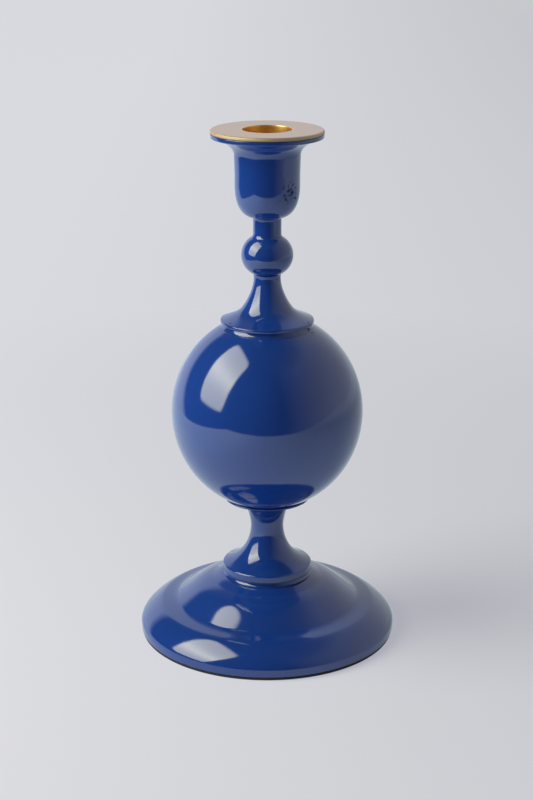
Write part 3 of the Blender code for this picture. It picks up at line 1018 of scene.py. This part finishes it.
def pale_floor():
    """Pale floor that fades into the backdrop with distance. Reflections see only the table's own area. Its
    glow is painted light: brighter near the object and on the left, towards the softbox.
    """
    made, paint = material("pale_floor")
    if paint is None:
        return made
    stage = bpy.context.scene.holder_stage
    place = paint.place()
    distance = paint.vector("LENGTH", place, output="Value")
    fade = distance.between(FADE_START, FADE_END)
    far_off = distance.between(FAR_START, FAR_END)
    camera = paint.ray("Is Camera Ray")
    glossy = paint.ray("Is Glossy Ray")
    x = paint.axis(place, "X")
    y = paint.axis(place, "Y")
    table = x.over(TABLE_LEFT, TABLE_EDGE_SOFT) * y.over(TABLE_FRONT, TABLE_EDGE_SOFT)
    diffuse = paint.node("ShaderNodeBsdfDiffuse", None, {"Color": opaque(stage.floor)})
    bounce = paint.node("ShaderNodeEmission", None, {"Color": FLOOR_BOUNCE, "Strength": 1 - camera})
    matt = paint.node("ShaderNodeAddShader", None, {0: diffuse, 1: bounce})
    near = 1 - distance.between(LEVEL_START, LEVEL_END)
    # Painted light: the glow is brighter on the left, towards the softbox, and dimmer to the right.
    level = 1 + (PAINTED_LIGHT_LEFT - PAINTED_LIGHT_LEAN * x.over(FLOOR_LEAN_MIDDLE, FLOOR_LEAN_WIDTH)) * near
    # Painted reflection of the floor: brighter on the left, towards the softbox.
    mirrored = paint.mix(x.over(MIRRORED_MIDDLE, MIRRORED_WIDTH), FLOOR_MIRRORED_LIT_LEFT, FLOOR_MIRRORED)
    tone = paint.mix(glossy, paint.mix(fade, FLOOR_NEAR, opaque(stage.backdrop)), mirrored)
    glow = paint.node("ShaderNodeEmission", None, {"Color": tone, "Strength": level})
    reach_out = camera * fade + glossy * far_off
    shown = (camera + glossy) * FLOOR_GLOW + reach_out * (1 - FLOOR_GLOW)
    seen = paint.node("ShaderNodeMixShader", None, {0: shown, 1: matt, 2: glow})
    through = paint.node("ShaderNodeBsdfTransparent")
    hidden = glossy * (1 - table)
    mixed = paint.node("ShaderNodeMixShader", None, {0: hidden, 1: seen, 2: through})
    paint.node("ShaderNodeOutputMaterial", None, {"Surface": mixed})
    return made


def studio_world():
    """Soft fill for matt surfaces, a pale backdrop, and for reflections a dark room with pale screens."""
    stage = bpy.context.scene.holder_stage
    world = bpy.data.worlds.new("studio")
    bpy.context.scene.world = world
    paint = Paint(world)
    direction = paint.node("ShaderNodeTexCoord", output="Generated")

    def towards(normal):
        """How far a direction leans to the side of a plane that its normal points to."""
        return paint.vector("DOT_PRODUCT", direction, normal, output="Value")

    def screen(edges):
        """1 on the good side of every plane, which has a normal, a level and a softness."""
        inside = 1.0
        for normal, level, softness in edges:
            inside = towards(normal).over(level, softness) * inside
        return inside

    back = screen(BACK_EDGES) * (BACK_LEVEL + towards(BACK_LEAN))
    wall = screen(WALL_EDGES) * WALL_LEVEL
    camera = paint.ray("Is Camera Ray")
    glossy = paint.ray("Is Glossy Ray")
    room = paint.mix(back, DARK_ROOM, tinted(stage.backdrop, BACK_TINT))
    room = paint.mix(wall, room, tinted(stage.backdrop, WALL_TINT))
    level = towards(FILL_FROM).over(FILL_MIDDLE, FILL_SOFT) * stage.fill
    fill = paint.vector("SCALE", FILL_TINT, scale=level)
    lit = paint.mix(glossy, fill, room)
    colour = paint.mix(camera, lit, opaque(stage.backdrop))
    background = paint.node("ShaderNodeBackground", None, {"Color": colour, "Strength": 1.0})
    paint.node("ShaderNodeOutputWorld", None, {"Surface": background})


def softbox_glow(light):
    """Lights a slanted, round-cornered panel inside the lamp, brightest across its middle."""
    stage = bpy.context.scene.holder_stage
    paint = Paint(light)
    place = paint.node("ShaderNodeNewGeometry", output="Parametric")
    x = (paint.axis(place, "X") - LAMP_CENTRE) * SOFTBOX_SIZE[0]
    y = (paint.axis(place, "Y") - LAMP_CENTRE) * SOFTBOX_SIZE[1]
    across = (x + SOFTBOX_SLANT[0] * y) / SOFTBOX_PANEL[0]
    along = (y + SOFTBOX_SLANT[1] * x) / SOFTBOX_PANEL[1]
    panel = (SOFTBOX_EDGE - (2 * across).eighth() - (2 * along).eighth()).limited()
    bell = (along - SOFTBOX_MIDDLE) * SOFTBOX_BELL
    level = stage.softbox + stage.softbox_middle / (1 + bell * bell)
    glow = paint.node("ShaderNodeEmission", None, {"Color": SOFTBOX_TINT, "Strength": level * panel})
    paint.node("ShaderNodeOutputLight", None, {"Surface": glow})


class CANDLE_OT_stage(bpy.types.Operator):
    """Lay the pale floor, hang the softbox and set the camera"""

    bl_idname = "candle.stage"
    bl_label = "Studio stage"

    def execute(self, context):
        scene = context.scene
        scene.view_settings.view_transform = "Standard"
        half = FLOOR_SIZE / 2
        mesh = bpy.data.meshes.new("floor")
        corners = [(-half, -half, 0), (half, -half, 0), (half, half, 0), (-half, half, 0)]
        mesh.from_pydata(corners, [], [(0, 1, 2, 3)])
        mesh.materials.append(pale_floor())
        floor = bpy.data.objects.new("floor", mesh)
        scene.collection.objects.link(floor)
        studio_world()
        self.softbox(scene)
        self.camera(scene)
        return {"FINISHED"}

    def softbox(self, scene):
        light = bpy.data.lights.new("softbox", "AREA")
        light.shape = "RECTANGLE"
        light.size, light.size_y = SOFTBOX_SIZE
        light.energy = math.pi * light.size * light.size_y
        softbox_glow(light)
        lamp = bpy.data.objects.new("softbox", light)
        facing = Vector(SOFTBOX_FACING).normalized()
        up = Vector(SOFTBOX_UP)
        up = (up - facing * up.dot(facing)).normalized()
        across = up.cross(-facing)
        turn = Matrix((across, up, -facing)).transposed().to_4x4()
        lamp.matrix_world = Matrix.Translation(SOFTBOX_PLACE) @ turn
        scene.collection.objects.link(lamp)

    def camera(self, scene):
        data = bpy.data.cameras.new("camera")
        data.lens = scene.holder_stage.lens
        data.clip_start = CLIP_NEAR
        data.clip_end = CLIP_FAR
        camera = bpy.data.objects.new("camera", data)
        camera.location = CAMERA_PLACE
        camera.rotation_euler = (math.pi / 2 - CAMERA_TILT, 0.0, 0.0)
        scene.collection.objects.link(camera)
        scene.camera = camera


class CANDLE_PT_holder(bpy.types.Panel):
    """Lists the steps that dress the candle holder"""

    bl_idname = "CANDLE_PT_holder"
    bl_label = "Sphere candle holder"
    bl_space_type = "VIEW_3D"
    bl_region_type = "UI"
    bl_category = "Candle holder"

    def draw(self, context):
        for operator in OPERATORS:
            self.layout.operator(operator.bl_idname)
        for group in (context.scene.holder_sizes, context.scene.holder_finish, context.scene.holder_stage):
            for name in group.bl_rna.properties.keys():
                if name not in ("rna_type", "name"):
                    self.layout.prop(group, name)


GROUPS = {"holder_sizes": HolderSizes, "holder_finish": HolderFinish, "holder_stage": HolderStage}
OPERATORS = (
    CANDLE_OT_nozzle,
    CANDLE_OT_stem,
    CANDLE_OT_ball,
    CANDLE_OT_foot,
    CANDLE_OT_fasteners,
    CANDLE_OT_stage,
)


def register():
    for name, group in GROUPS.items():
        bpy.utils.register_class(group)
        setattr(bpy.types.Scene, name, PointerProperty(type=group))
    for operator in OPERATORS:
        bpy.utils.register_class(operator)
    bpy.utils.register_class(CANDLE_PT_holder)


def unregister():
    bpy.utils.unregister_class(CANDLE_PT_holder)
    for operator in reversed(OPERATORS):
        bpy.utils.unregister_class(operator)
    for name, group in GROUPS.items():
        delattr(bpy.types.Scene, name)
        bpy.utils.unregister_class(group)


def main():
    register()
    bpy.ops.candle.nozzle()
    bpy.ops.candle.stem()
    bpy.ops.candle.ball()
    bpy.ops.candle.foot()
    bpy.ops.candle.fasteners()
    bpy.ops.candle.stage()


if __name__ == "__main__":
    main()
